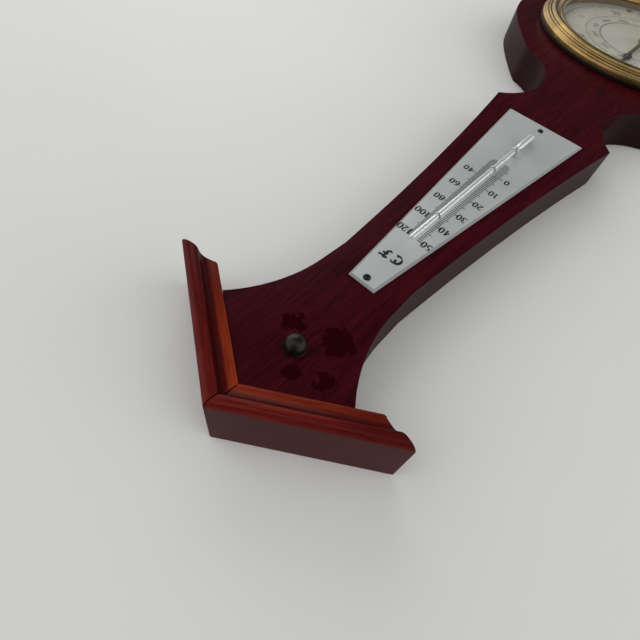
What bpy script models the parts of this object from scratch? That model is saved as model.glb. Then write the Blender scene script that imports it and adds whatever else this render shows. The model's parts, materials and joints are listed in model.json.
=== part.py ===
"""Banjo wall weather station: thermometer neck, gabled top, round aneroid barometer.

Every piece hangs from one empty, wall_frame, whose local axes are
x = right, y = up, z = depth towards the viewer, measured from the back plane.
In world space that is +X right, +Z up and -Y towards the viewer. The origin is
the point where the wall hook bears in the keyhole hanger. Sizes below are mm.
"""
import math

import bmesh
import bpy
from mathutils import Vector

MM = 0.001
GAP = 0.3                 # clearance between touching pieces

# wooden case
BOARD = 19.0              # board thickness
BOARD_APEX = 41.4         # top of the board on the centre line
GABLE_SLOPE = math.radians(32.9)
SHOULDER = (28.4, 23.0)   # board edge under the gable moulding
WAIST = (16.1, -10.7)
NECK_TOP = (15.6, -24.0)
NECK_END = (32.2, -170.5)
NOTCH_END = (45.8, -232.1)

# round body
DIAL_UP = -314.0          # height of the barometer centre
BODY_R = 86.0
CASE_BORE_R = 62.6
TAIL_START = 152.0        # degrees from the top where the tail leaves the round body
TAIL_LENGTH = 26.0

# gable moulding
MOULD_W = 10.0
MOULD_LIP = 20.3          # depth of the flat inner part of the section
GABLE_APEX = 53.8
GABLE_ARM = {-1: 57.4, 1: 59.8}   # outer edge lengths, the left strip is cut a little shorter
FOOT_LEAN = math.radians(40.0)    # the foot cut leans this much from square
MITRE_GAP = 0.15          # half the joint between the two strips

KNOB_X, KNOB_UP = -2.4, 21.1   # the knob was screwed in a little off centre

# keyhole hanger let into the back
HANGER_TOP, HANGER_BOTTOM = 12.0, -26.0
HANGER_W = 14.0
HANGER_HOLE_DROP = 7.0
HANGER_SCREWS = (8.4, -22.4)

# thermometer
PLATE_X = -0.6            # the plate sits a touch left of the centre line
PLATE_TOP = -13.0
PLATE_LEN = 147.5
PLATE_W_TOP = 11.3
PLATE_W_END = 40.9
PLATE_T = 0.8
PLATE_FRONT = BOARD + GAP + PLATE_T
PLATE_SCREWS = (PLATE_TOP - 3.1, PLATE_TOP - 141.0)
TUBE_TIP = -41.0
BULB_TOP = -126.6
BULB_END = -143.0
FLUID_TOP = -80.0
TUBE_R = 1.1
BORE_R = 0.45
BULB_R = 1.6
TUBE_AXIS = PLATE_FRONT + 2.0
STAPLES = (-59.3, -103.4, -124.4)
STAPLE_LEG = 1.75         # each leg stands this far from the tube axis
STAPLE_WIRE_R = 0.35

# barometer
BEZEL_R = 70.0
BEZEL_SIGHT_R = 57.0
GLASS_BACK, GLASS_FRONT = 22.6, 24.6
DIAL_R = 60.6
DIAL_BACK, DIAL_FRONT = 17.4, 18.3
CUP_R = 62.0
CUP_BACK = 1.6
CUP_WALL = 0.8
FLANGE_SCREW_R = 65.2
FLANGE_SCREW_ANGLES = (90.0, 210.0, 330.0)

MATERIALS = {
    "lacquered_wood": ((0.085, 0.016, 0.018), 0.25, 0.0),
    "moulding_wood": ((0.16, 0.03, 0.018), 0.28, 0.0),
    "knob_bronze": ((0.016, 0.013, 0.010), 0.35, 0.8),
    "scale_aluminium": ((0.58, 0.60, 0.60), 0.38, 0.7),
    "black_screw": ((0.012, 0.012, 0.013), 0.4, 0.6),
    "clear_glass": ((0.85, 0.88, 0.88), 0.05, 0.0),
    "fluid": ((0.55, 0.56, 0.57), 0.2, 0.9),
    "steel": ((0.45, 0.45, 0.46), 0.35, 1.0),
    "brass": ((0.56, 0.38, 0.16), 0.3, 1.0),
    "case_metal": ((0.42, 0.43, 0.44), 0.4, 0.9),
    "dial_white": ((0.78, 0.76, 0.68), 0.45, 0.0),
    "blued_steel": ((0.012, 0.013, 0.02), 0.3, 0.8),
}


# ---------------------------------------------------------------- helpers

def make_material(name):
    colour, roughness, metallic = MATERIALS[name]
    mat = bpy.data.materials.new(name)
    mat.use_nodes = True
    shader = mat.node_tree.nodes["Principled BSDF"]
    shader.inputs["Base Color"].default_value = (*colour, 1.0)
    shader.inputs["Roughness"].default_value = roughness
    shader.inputs["Metallic"].default_value = metallic
    return mat


def start_scene():
    for obj in list(bpy.data.objects):
        bpy.data.objects.remove(obj)
    scene = bpy.context.scene
    parts = bpy.data.collections.new("banjo_weather_station")
    cutters = bpy.data.collections.new("cutters")
    scene.collection.children.link(parts)
    scene.collection.children.link(cutters)
    frame = bpy.data.objects.new("wall_frame", None)
    frame.rotation_euler = (math.pi / 2, 0.0, 0.0)
    parts.objects.link(frame)
    return parts, cutters, frame


PARTS, CUTTERS, FRAME = start_scene()
MATS = {name: make_material(name) for name in MATERIALS}


def add(name, data, material=None, at=(0.0, 0.0, 0.0)):
    """Link an object under the wall frame; a piece without a material is a cutter."""
    obj = bpy.data.objects.new(name, data)
    obj.parent = FRAME
    obj.location = Vector(at) * MM
    if material:
        PARTS.objects.link(obj)
        obj.data.materials.append(MATS[material])
    else:
        CUTTERS.objects.link(obj)
        obj.display_type = "WIRE"
        obj.hide_render = True
    return obj


def smooth(mesh, degrees=35.0):
    mesh.shade_smooth()
    mesh.set_sharp_from_angle(angle=math.radians(degrees))


def cut(obj, cutter, operation="DIFFERENCE"):
    mod = obj.modifiers.new(operation.lower() + "_" + cutter.name, "BOOLEAN")
    mod.operation = operation
    mod.object = cutter
    mod.solver = "EXACT"


def turned(name, profile, material, at=(0, 0, 0), steps=48, closed=False):
    """Turn a profile of (radius, depth) about the depth axis; it runs down the outer side."""
    mesh = bpy.data.meshes.new(name)
    bm = bmesh.new()
    verts = [bm.verts.new((r * MM, 0.0, d * MM)) for r, d in profile]
    for a, b in zip(verts, verts[1:]):
        bm.edges.new((a, b))
    if closed:
        bm.edges.new((verts[-1], verts[0]))
    bm.to_mesh(mesh)
    bm.free()
    obj = add(name, mesh, material, at)
    mod = obj.modifiers.new("turn", "SCREW")
    mod.axis = "Z"
    mod.angle = 2 * math.pi
    mod.steps = mod.render_steps = steps
    mod.use_merge_vertices = True
    mod.merge_threshold = 0.00002
    mod.use_smooth_shade = True
    return obj


def cylinder(name, radius, low, high, material=None, at=(0, 0), sides=24):
    mesh = bpy.data.meshes.new(name)
    bm = bmesh.new()
    bmesh.ops.create_cone(bm, cap_ends=True, segments=sides, radius1=radius * MM,
                          radius2=radius * MM, depth=(high - low) * MM)
    bm.to_mesh(mesh)
    bm.free()
    smooth(mesh)
    return add(name, mesh, material, (at[0], at[1], (low + high) / 2))


def block(name, size, centre, material=None):
    mesh = bpy.data.meshes.new(name)
    bm = bmesh.new()
    bmesh.ops.create_cube(bm, size=1.0)
    bmesh.ops.scale(bm, vec=Vector(size) * MM, verts=bm.verts)
    bm.to_mesh(mesh)
    bm.free()
    return add(name, mesh, material, centre)


def plate(name, outlines, low, high, material=None, at=(0, 0)):
    """A flat piece from closed outlines; the first is the edge, the others are holes."""
    curve = bpy.data.curves.new(name, "CURVE")
    curve.dimensions = "2D"
    curve.fill_mode = "BOTH"
    curve.extrude = (high - low) / 2 * MM
    for points in outlines:
        spline = curve.splines.new("POLY")
        spline.points.add(len(points) - 1)
        for point, (x, y) in zip(spline.points, points):
            point.co = (x * MM, y * MM, 0.0, 1.0)
        spline.use_cyclic_u = True
    return add(name, curve, material, (at[0], at[1], (low + high) / 2))


def wire(name, points, radius, material, at=(0, 0, 0), cyclic=False):
    curve = bpy.data.curves.new(name, "CURVE")
    curve.dimensions = "3D"
    curve.bevel_depth = radius * MM
    curve.bevel_resolution = 2
    curve.use_fill_caps = True
    spline = curve.splines.new("POLY")
    spline.points.add(len(points) - 1)
    for point, (x, y, z) in zip(spline.points, points):
        point.co = (x * MM, y * MM, z * MM, 1.0)
    spline.use_cyclic_u = cyclic
    return add(name, curve, material, at)


def as_mesh(obj):
    """Turn a curve object into a mesh object with the same name, material and place."""
    bpy.context.view_layer.update()
    graph = bpy.context.evaluated_depsgraph_get()
    mesh = bpy.data.meshes.new_from_object(obj.evaluated_get(graph))
    bm = bmesh.new()
    bm.from_mesh(mesh)
    bmesh.ops.remove_doubles(bm, verts=bm.verts, dist=0.000002)
    bm.to_mesh(mesh)
    bm.free()
    name, matrix = obj.name, obj.matrix_world.copy()
    home = obj.users_collection[0]
    curve = obj.data
    bpy.data.objects.remove(obj)
    bpy.data.curves.remove(curve)
    new = bpy.data.objects.new(name, mesh)
    home.objects.link(new)
    new.parent = FRAME
    bpy.context.view_layer.update()
    new.matrix_world = matrix
    return new


def arc3(a, m, b, count):
    """Points on the circle through a, m and b, from a to b, both ends included."""
    (ax, ay), (mx, my), (bx, by) = a, m, b
    d = 2 * (ax * (my - by) + mx * (by - ay) + bx * (ay - my))
    a2, m2, b2 = ax * ax + ay * ay, mx * mx + my * my, bx * bx + by * by
    cx = (a2 * (my - by) + m2 * (by - ay) + b2 * (ay - my)) / d
    cy = (a2 * (bx - mx) + m2 * (ax - bx) + b2 * (mx - ax)) / d
    radius = math.hypot(ax - cx, ay - cy)
    start = math.atan2(ay - cy, ax - cx)
    middle = (math.atan2(my - cy, mx - cx) - start) % (2 * math.pi)
    sweep = (math.atan2(by - cy, bx - cx) - start) % (2 * math.pi)
    if middle > sweep:
        sweep -= 2 * math.pi
    angles = [start + sweep * i / count for i in range(count + 1)]
    return [(cx + radius * math.cos(t), cy + radius * math.sin(t)) for t in angles]


def on_body(degrees, radius=BODY_R):
    """A point of the round body, measured clockwise from the top."""
    t = math.radians(degrees)
    return (radius * math.sin(t), DIAL_UP + radius * math.cos(t))


def circle(radius, centre=(0.0, 0.0), count=32):
    step = 2 * math.pi / count
    return [(centre[0] + radius * math.cos(i * step), centre[1] + radius * math.sin(i * step))
            for i in range(count)]


def mirrored(half):
    """Close a right-hand half outline, whose first and last points are on the centre line."""
    return half + [(-x, y) for x, y in reversed(half[1:-1])]


# ---------------------------------------------------------------- wooden case

def board_outline():
    body_start = 58.0
    half = [(0.0, BOARD_APEX)]
    half += arc3(SHOULDER, (22.0, 12.6), WAIST, 12)
    half += arc3(NECK_TOP, (22.2, -97.0), NECK_END, 14)
    half += arc3(NECK_END, (20.5, -199.0), NOTCH_END, 16)[1:]
    half += arc3(NOTCH_END, (58.6, -248.0), on_body(body_start), 6)[1:]
    steps = 22
    half += [on_body(body_start + (TAIL_START - body_start) * i / steps) for i in range(1, steps + 1)]
    edge = on_body(TAIL_START)
    bottom = DIAL_UP - BODY_R - TAIL_LENGTH
    half += arc3(edge, (23.5, DIAL_UP - BODY_R - 2.5), (17.0, bottom + 14.0), 8)[1:]
    half += arc3((17.0, bottom + 14.0), (12.3, bottom + 4.0), (0.0, bottom), 8)[1:]
    return mirrored(half)


def gable_profile():
    """Section of the strip: distance from its outer face, and depth from the back."""
    torus = arc3((0.0, 23.6), (0.7, 24.7), (2.2, 25.1), 4) + arc3((3.4, 24.9), (4.35, 24.2), (4.8, 23.0), 5)
    cove = arc3((5.1, 22.0), (5.7, 21.0), (6.9, MOULD_LIP), 5)
    edge = arc3((9.3, MOULD_LIP), (9.8, 20.1), (MOULD_W, 19.6), 3)
    return [(0.0, 0.0)] + torus + cove + edge + [(MOULD_W, 0.0)]


def gable_strip(name, side):
    """One strip: its section swept along the slope, mitred on top and sawn off at its foot."""
    run = Vector((math.cos(GABLE_SLOPE), -math.sin(GABLE_SLOPE)))
    inward = Vector((-math.sin(GABLE_SLOPE), -math.cos(GABLE_SLOPE)))
    corner = Vector((0.0, GABLE_APEX))
    bm = bmesh.new()
    rings = []
    for end in ("mitre", "foot"):
        ring = []
        for offset, depth in gable_profile():
            start = corner + inward * offset
            if end == "mitre":
                t = (MITRE_GAP - start.x) / run.x
            else:
                t = GABLE_ARM[side] - offset * math.tan(FOOT_LEAN)
            spot = start + run * t
            ring.append(bm.verts.new((side * spot.x * MM, spot.y * MM, depth * MM)))
        rings.append(ring)
    top, foot = rings
    count = len(top)
    for i in range(count):
        j = (i + 1) % count
        bm.faces.new((top[i], top[j], foot[j], foot[i]))
    bm.faces.new(top)
    bm.faces.new(foot)
    bmesh.ops.recalc_face_normals(bm, faces=bm.faces)
    mesh = bpy.data.meshes.new(name)
    bm.to_mesh(mesh)
    bm.free()
    smooth(mesh, 30.0)
    return add(name, mesh, "moulding_wood")


def wooden_case():
    board = as_mesh(plate("case_board", [board_outline()], 0.0, BOARD, "lacquered_wood"))
    cut(board, cylinder("bore_cutter", CASE_BORE_R, -2.0, BOARD + 2.0, at=(0, DIAL_UP), sides=64))
    cut(board, block("hanger_pocket", (HANGER_W + 2 * GAP, HANGER_TOP - HANGER_BOTTOM + 2 * GAP, 4.0),
                     (0, (HANGER_TOP + HANGER_BOTTOM) / 2, 0.0)))
    cut(board, block("hook_pocket", (10.4, 20.0, 18.0), (0, -4.0, 0.0)))
    cut(board, cylinder("knob_hole", 1.9, BOARD - 9.4, BOARD + 2, at=(KNOB_X, KNOB_UP)))
    for i, up in enumerate(PLATE_SCREWS):
        cut(board, cylinder(f"plate_screw_hole_{i}", 1.1, BOARD - 7.4, BOARD + 2, at=(PLATE_X, up), sides=16))
    for i, up in enumerate(HANGER_SCREWS):
        cut(board, cylinder(f"hanger_screw_hole_{i}", 1.3, -1.0, 8.6, at=(0, up), sides=16))
    for i, angle in enumerate(FLANGE_SCREW_ANGLES):
        spot = on_body(angle, FLANGE_SCREW_R)
        cut(board, cylinder(f"flange_screw_hole_{i}", 1.1, BOARD - 7.4, BOARD + 2, at=spot, sides=16))
    gable_strip("gable_moulding_left", -1)
    gable_strip("gable_moulding_right", 1)
    knob_profile = [(0.0, 23.6), (1.7, 23.3), (2.9, 22.5), (3.75, 21.3), (3.97, 20.1), (3.75, BOARD + GAP),
                    (1.6, BOARD + GAP), (1.6, BOARD - 8.6), (0.0, BOARD - 9.0)]
    turned("finial_knob", knob_profile, "knob_bronze", (KNOB_X, KNOB_UP, 0), steps=32)


def wall_hanger():
    low, high = 0.1, 1.6
    middle = (HANGER_TOP + HANGER_BOTTOM) / 2
    half_w, half_h = HANGER_W / 2, (HANGER_TOP - HANGER_BOTTOM) / 2
    end = half_h - half_w
    edge = arc3((half_w, middle + end), (0.0, middle + half_h), (-half_w, middle + end), 12)
    edge += arc3((-half_w, middle - end), (0.0, middle - half_h), (half_w, middle - end), 12)
    seat_r, mouth_r, drop = 2.2, 4.4, HANGER_HOLE_DROP
    keyhole = arc3((seat_r, -seat_r), (0.0, 0.0), (-seat_r, -seat_r), 8)
    neck = -drop + math.sqrt(mouth_r ** 2 - seat_r ** 2)
    keyhole += arc3((-seat_r, neck), (0.0, -drop - mouth_r), (seat_r, neck), 18)
    holes = [circle(1.5, (0, up), 16) for up in HANGER_SCREWS]
    plate("hanger_plate", [edge, keyhole] + holes, low, high, "steel")
    for i, up in enumerate(HANGER_SCREWS):
        name = ("hanger_screw_top", "hanger_screw_bottom")[i]
        profile = [(0.0, 8.0), (0.9, 7.0), (1.0, 2.2), (1.0, 0.1), (0.0, 0.1)]
        turned(name, profile, "steel", (0, up, 0), steps=16)


# ---------------------------------------------------------------- thermometer

def pan_screw(name, at, seat, head_r, head_h, shank_r, length, material, hole_gap=GAP):
    """A domed screw whose head sits just above seat and whose shank runs back from it."""
    under = seat + hole_gap
    profile = [(0.0, under + head_h), (head_r * 0.55, under + head_h * 0.9),
               (head_r * 0.9, under + head_h * 0.55), (head_r, under), (shank_r, under),
               (shank_r, under - length + 1.0), (0.0, under - length)]
    return turned(name, profile, material, (at[0], at[1], 0), steps=16)


def thermometer():
    half_top, half_end = PLATE_W_TOP / 2, PLATE_W_END / 2
    bottom = PLATE_TOP - PLATE_LEN
    edge = [(half_top, PLATE_TOP), (-half_top, PLATE_TOP), (-half_end, bottom), (half_end, bottom)]
    holes = [circle(1.2, (0, up), 12) for up in PLATE_SCREWS]
    for up in STAPLES:
        for side in (-1, 1):
            holes.append(circle(STAPLE_WIRE_R + GAP, (side * STAPLE_LEG, up), 10))
    plate("thermometer_plate", [edge] + holes, BOARD + GAP, PLATE_FRONT, "scale_aluminium", (PLATE_X, 0))
    for i, up in enumerate(PLATE_SCREWS):
        name = ("plate_screw_top", "plate_screw_bottom")[i]
        pan_screw(name, (PLATE_X, up), PLATE_FRONT, 1.45, 0.9, 0.8, 8.0, "black_screw")
    glass_tube()
    for i, up in enumerate(STAPLES):
        staple(("tube_staple_upper", "tube_staple_middle", "tube_staple_lower")[i], up)


def along_tube(name, profile, material, steps=20):
    """Turn (radius, distance down from the tip) about the upright tube axis."""
    obj = turned(name, [(r, -s) for r, s in profile], material,
                 (PLATE_X, TUBE_TIP, TUBE_AXIS), steps=steps)
    obj.rotation_euler = (-math.pi / 2, 0.0, 0.0)
    return obj


def glass_tube():
    neck = TUBE_TIP - BULB_TOP
    end = TUBE_TIP - BULB_END
    outside = [(BORE_R, 0.0), (0.8, 0.25), (TUBE_R, 1.2), (TUBE_R, neck), (BULB_R, neck + 2.0),
               (BULB_R, end - 1.6), (0.9, end - 0.4), (0.0, end)]
    inside = [(0.0, end - 1.0), (0.8, end - 1.5), (1.15, end - 2.4), (1.15, neck + 2.6), (BORE_R, neck + 0.8),
              (BORE_R, 0.0)]
    along_tube("thermometer_tube", outside + inside, "clear_glass")
    warm = TUBE_TIP - FLUID_TOP
    fluid = [(0.0, warm), (0.17, warm), (0.17, neck + 1.4), (0.85, neck + 3.0), (0.85, end - 2.8),
             (0.0, end - 1.5)]
    along_tube("thermometer_fluid", fluid, "fluid", steps=12)


def staple(name, up):
    """A wire bridge over the tube; both legs go through the plate and into the board's face."""
    foot = BOARD + 0.5
    turns = [math.pi * i / 10 for i in range(11)]
    arch = [(STAPLE_LEG * math.cos(t), 0.0, TUBE_AXIS + STAPLE_LEG * math.sin(t)) for t in turns]
    wire(name, [(STAPLE_LEG, 0.0, foot)] + arch + [(-STAPLE_LEG, 0.0, foot)], STAPLE_WIRE_R, "steel",
         (PLATE_X, up, 0))


# ---------------------------------------------------------------- barometer case

def barometer_case():
    centre = (0, DIAL_UP, 0)
    flange_low, flange_high = BOARD + GAP, BOARD + GAP + CUP_WALL
    inner = CUP_R - CUP_WALL
    profile = [(inner, flange_high), (67.8, flange_high), (67.8, flange_low), (CUP_R, flange_low),
               (CUP_R, CUP_BACK), (0.0, CUP_BACK), (0.0, CUP_BACK + CUP_WALL),
               (inner, CUP_BACK + CUP_WALL), (inner, flange_high)]
    cup = turned("barometer_case", profile, "case_metal", centre, steps=64)
    cut(cup, cylinder("adjuster_hole", 2.6, -1, 4, at=(ADJUSTER[0], DIAL_UP + ADJUSTER[1])))
    for i, (x, y) in enumerate(BASE_SCREWS):
        cut(cup, cylinder(f"base_screw_hole_{i}", 1.4, -1, 4, at=(x, DIAL_UP + y), sides=16))
    for i, angle in enumerate(FLANGE_SCREW_ANGLES):
        spot = on_body(angle, FLANGE_SCREW_R)
        cut(cup, cylinder(f"flange_hole_{i}", 1.3, BOARD, 24, at=spot, sides=16))
        screw = (spot[0], spot[1])
        pan_screw(f"flange_screw_{i + 1}", screw, flange_high, 1.7, 0.8, 0.8, 7.0, "steel")


def bezel_and_glass():
    centre = (0, DIAL_UP, 0)
    low = BOARD + GAP
    bezel = [(BEZEL_SIGHT_R, 25.0), (58.2, 25.9), (59.4, 25.2), (60.4, 26.6), (62.6, 27.4), (64.6, 27.0),
             (65.2, 26.1), (66.6, 26.0), (67.6, 25.5), (68.2, 24.7), (69.3, 24.3), (BEZEL_R, 23.4), (BEZEL_R, low),
             (68.2, low), (68.2, 21.9), (61.6, 21.9), (61.6, 24.9), (BEZEL_SIGHT_R, 24.9)]
    turned("bezel", bezel, "brass", centre, steps=64, closed=True)
    glass = [(2.2, GLASS_FRONT), (61.2, GLASS_FRONT), (61.2, GLASS_BACK), (2.2, GLASS_BACK)]
    turned("dial_glass", glass, "clear_glass", centre, steps=64, closed=True)
    spacer = [(58.6, GLASS_BACK - GAP), (60.6, GLASS_BACK - GAP), (60.6, DIAL_FRONT + GAP),
              (60.0, DIAL_FRONT + GAP)]
    turned("dial_spacer_ring", spacer, "brass", centre, steps=64, closed=True)


def dial():
    centre = (0, DIAL_UP)
    plate("dial_plate", [circle(DIAL_R, count=72), circle(3.0, count=20)]
                 + [circle(1.3, on_ring(a, DIAL_PILLAR_R), 12) for a in DIAL_PILLARS],
                 DIAL_BACK, DIAL_FRONT, "dial_white", centre)
    for i, angle in enumerate(DIAL_PILLARS):
        x, y = on_ring(angle, DIAL_PILLAR_R)
        cylinder(f"dial_pillar_{i + 1}", 2.2, CUP_BACK + CUP_WALL + GAP, DIAL_BACK - GAP, "brass",
                 (x, DIAL_UP + y), 20)
        cylinder(f"dial_screw_{i + 1}", 1.9, DIAL_FRONT + 0.15, DIAL_FRONT + 0.75, "brass",
                 (x, DIAL_UP + y), 20)


def on_ring(degrees, radius):
    t = math.radians(degrees)
    return (radius * math.sin(t), radius * math.cos(t))


# ---------------------------------------------------------------- aneroid movement
# Places in this part are measured from the barometer centre.

ADJUSTER = (-31.0, 0.0)
BASE_SCREWS = ((22.0, 27.0), (22.0, -27.0))
DIAL_PILLARS = (30.0, 150.0, 270.0)
DIAL_PILLAR_R = 53.0
BASE_LOW, BASE_HIGH = CUP_BACK + CUP_WALL + GAP, CUP_BACK + CUP_WALL + GAP + 1.0
CAPSULE_R = 20.0
CAPSULE_LOW = BASE_HIGH + GAP
CAPSULE_HIGH = CAPSULE_LOW + 4.6
STUD_TOP = CAPSULE_HIGH + 1.1
SPRING_LOW = STUD_TOP + GAP
SPRING_HIGH = SPRING_LOW + 0.8
ROCKER = (29.0, 6.4)              # x and depth of the rocker's shaft
ARM_TOP = 14.2                    # depth where the chain is hooked on
ARBOR_R = 0.9
COCK_LOW, COCK_HIGH = SPRING_HIGH + 0.6, SPRING_HIGH + 1.2
BRIDGE_LOW, BRIDGE_HIGH = 15.2, 16.0
DRUM_R = 0.6
CHAIN_R = 0.2
CHAIN_DROP = DRUM_R + CHAIN_R + 0.1
CHAIN_DEPTH = 13.6


def movement_frame():
    plate("movement_base", [circle(38.0, count=48), circle(1.7, ADJUSTER, 16)]
                 + [circle(1.1, spot, 12) for spot in BASE_SCREWS], BASE_LOW, BASE_HIGH, "brass", (0, DIAL_UP))
    for i, (x, y) in enumerate(BASE_SCREWS):
        profile = [(0.0, BASE_HIGH), (0.8, BASE_HIGH - 0.3), (0.8, CUP_BACK - GAP), (2.4, CUP_BACK - GAP),
                   (2.2, 0.3), (0.0, 0.2)]
        turned(f"base_screw_{i + 1}", profile, "steel", (x, DIAL_UP + y, 0), steps=20)
    block_low, block_high = BASE_HIGH + GAP, SPRING_LOW - GAP
    bridge = block("spring_bridge", (8.0, 18.0, block_high - block_low),
                   (ADJUSTER[0], DIAL_UP, (block_low + block_high) / 2), "brass")
    cut(bridge, cylinder("adjuster_thread", 1.7, 0, SPRING_LOW + 1, at=(ADJUSTER[0], DIAL_UP)))
    profile = [(0.0, SPRING_LOW - 0.8), (1.2, SPRING_LOW - 1.4), (1.4, CUP_BACK), (2.2, CUP_BACK), (2.2, 0.6),
               (0.0, 0.5)]
    turned("adjusting_screw", profile, "steel", (ADJUSTER[0], DIAL_UP, 0), steps=24)


def capsule():
    """Two corrugated diaphragms soldered at the rim, with a foot and a stud."""
    rings, ripple = 5, 0.45
    top = [(0.0, STUD_TOP), (2.0, STUD_TOP), (2.0, CAPSULE_HIGH)]
    for i in range(rings * 2):
        r = 4.0 + (CAPSULE_R - 5.0) * i / (rings * 2 - 1)
        top.append((r, CAPSULE_HIGH - (ripple if i % 2 else 0.0) - 0.5))
    rim_high, rim_low = CAPSULE_LOW + 2.7, CAPSULE_LOW + 1.9
    rim = [(CAPSULE_R, rim_high), (CAPSULE_R, rim_low)]
    under = [(CAPSULE_R - 1.5, rim_low), (CAPSULE_R - 2.5, CAPSULE_LOW + 0.5), (5.0, CAPSULE_LOW + 0.5),
             (5.0, CAPSULE_LOW), (0.0, CAPSULE_LOW)]
    turned("aneroid_capsule", top + rim + under, "case_metal", (0, DIAL_UP, 0), steps=32)


def spring_and_lever():
    left, right = ADJUSTER[0] - 4.0, 9.0
    outline = [(left, -8.0), (left, 8.0), (-10.0, 8.0), (right, 3.0), (right, -3.0), (-10.0, -8.0)]
    plate("main_spring", [outline, circle(1.2, (ADJUSTER[0], 5.4), 12)], SPRING_LOW, SPRING_HIGH,
                   "blued_steel", (0, DIAL_UP))
    at = (ADJUSTER[0], DIAL_UP + 5.4)
    head = [(0.0, SPRING_HIGH + 1.2), (1.7, SPRING_HIGH + 1.1), (1.7, SPRING_HIGH + GAP),
            (0.8, SPRING_HIGH + GAP), (0.8, SPRING_LOW - 0.1), (0.0, SPRING_LOW - 0.1)]
    turned("spring_screw", head, "steel", (at[0], at[1], 0), steps=16)
    lever_x = right + GAP
    lever = [(lever_x, -1.6), (lever_x, 1.6), (ROCKER[0] - 5.0, 1.1), (ROCKER[0] - 5.0, -1.1)]
    plate("main_lever", [lever], SPRING_LOW, SPRING_HIGH, "brass", (0, DIAL_UP))
    link_x, foot = ROCKER[0] - 4.3, ROCKER[1] + 0.5 + GAP
    wire("connecting_link", [(link_x, 0, foot), (link_x, 0, SPRING_HIGH)], 0.4, "steel", (0, DIAL_UP, 0))


def rocker():
    shaft_x, shaft_d = ROCKER
    half = 9.0
    shaft = cylinder("rocker_shaft", 1.0, -half + 1.3, half - 1.3, "steel", sides=20)
    shaft.rotation_euler = (math.pi / 2, 0.0, 0.0)
    shaft.location = Vector((shaft_x, DIAL_UP, shaft_d)) * MM
    arm = block("rocker_arm_body", (1.2, 2.4, ARM_TOP - shaft_d), (shaft_x, DIAL_UP, (ARM_TOP + shaft_d) / 2))
    cut(shaft, arm, "UNION")
    tail = block("rocker_tail_body", (5.0, 2.4, 1.0), (shaft_x - 2.6, DIAL_UP, shaft_d))
    cut(shaft, tail, "UNION")
    low = BASE_HIGH + GAP
    for i, side in enumerate((-1, 1)):
        y = DIAL_UP + side * half
        block(f"rocker_post_{i + 1}", (5.0, 2.0, 5.0), (shaft_x, y, low + 2.5), "brass")
    far = shaft_x - 0.6 - GAP
    near = 3.0
    wire("pull_chain", [(far, 0, 0), (near, 0, 0)], CHAIN_R, "steel", (0, DIAL_UP - CHAIN_DROP, CHAIN_DEPTH))


def arbor_group():
    outline = [(-26.0, 12.0), (-26.0, 19.0), (-5.0, 5.0), (5.0, 5.0), (18.0, 19.0), (24.0, 19.0), (24.0, 12.0),
               (6.0, -4.0), (-6.0, -4.0)]
    plate("arbor_bridge", [outline, circle(ARBOR_R + 0.15, count=16)], BRIDGE_LOW, BRIDGE_HIGH, "brass",
          (0, DIAL_UP))
    plate("arbor_cock", [outline, circle(DRUM_R + 0.15, count=16)], COCK_LOW, COCK_HIGH, "brass", (0, DIAL_UP))
    for i, x in enumerate((-24.0, 21.0)):
        spot = (x, DIAL_UP + 15.5)
        cylinder(f"arbor_post_{i + 1}", 1.8, BASE_HIGH + GAP, COCK_LOW - GAP, "brass", spot, 16)
        cylinder(f"arbor_spacer_{i + 1}", 1.8, COCK_HIGH + GAP, BRIDGE_LOW - GAP, "brass", spot, 16)
    foot = COCK_LOW - 0.2
    arbor = [(0.0, 21.0), (ARBOR_R, 20.9), (ARBOR_R, 14.9), (1.3, 14.8), (1.3, 14.5), (DRUM_R, 14.4),
             (DRUM_R, 12.8), (1.3, 12.7), (1.3, 12.4), (DRUM_R, 12.3), (DRUM_R, foot), (0.0, foot)]
    turned("pointer_arbor", arbor, "steel", (0, DIAL_UP, 0), steps=16)
    turns, per_turn = 3, 14
    coil = []
    for i in range(turns * per_turn + 1):
        t = 2 * math.pi * i / per_turn
        r = 2.4 + 3.0 * i / (turns * per_turn)
        coil.append((r * math.cos(t), r * math.sin(t), 0.0))
    wire("hairspring", coil, 0.16, "blued_steel", (0, DIAL_UP, 16.6))


def hands():
    length, tail = 47.0, 17.0
    half = [(0.0, length), (1.1, 38.0), (2.9, 33.0), (0.8, 28.0), (0.8, 5.0)]
    half += arc3((2.4, 2.8), (3.6, 0.0), (2.4, -2.8), 6)
    half += [(0.7, -5.0), (0.7, -tail + 5.0), (2.4, -tail + 1.0), (0.0, -tail)]
    plate("pointer", [mirrored(half), circle(ARBOR_R + 0.25, count=16)], 19.4, 19.9, "blued_steel",
                 (0, DIAL_UP))
    half = [(0.0, 45.0), (0.9, 36.0), (0.7, 5.0)] + arc3((1.6, 3.4), (3.8, 0.0), (1.6, -3.4), 6)
    half += [(0.8, -12.0), (0.0, -15.0)]
    plate("set_hand", [mirrored(half), circle(1.3, count=16)], 21.5, 22.0, "brass", (0, DIAL_UP))
    knob = [(0.0, 31.0), (2.4, 30.8), (4.2, 30.0), (4.8, 28.8), (4.2, 27.6), (2.6, 26.8), (2.4, 25.9),
            (3.6, 25.4), (3.6, GLASS_FRONT + GAP), (1.0, GLASS_FRONT + GAP), (1.0, 21.4), (0.0, 21.3)]
    turned("set_knob", knob, "brass", (0, DIAL_UP, 0), steps=32)


wooden_case()
wall_hanger()
thermometer()
barometer_case()
bezel_and_glass()
dial()
movement_frame()
capsule()
spring_and_lever()
rocker()
arbor_group()
hands()
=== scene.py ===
"""Looks for the banjo wall weather station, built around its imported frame.

World axes: +X right, +Z up the case, -Y out of the front. Depth means the distance
in front of the back plane, so a point at depth d has y = -d. Lengths are in metres.
"""
import json
import math

import bmesh
import bpy
from mathutils import Matrix, Vector


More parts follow.
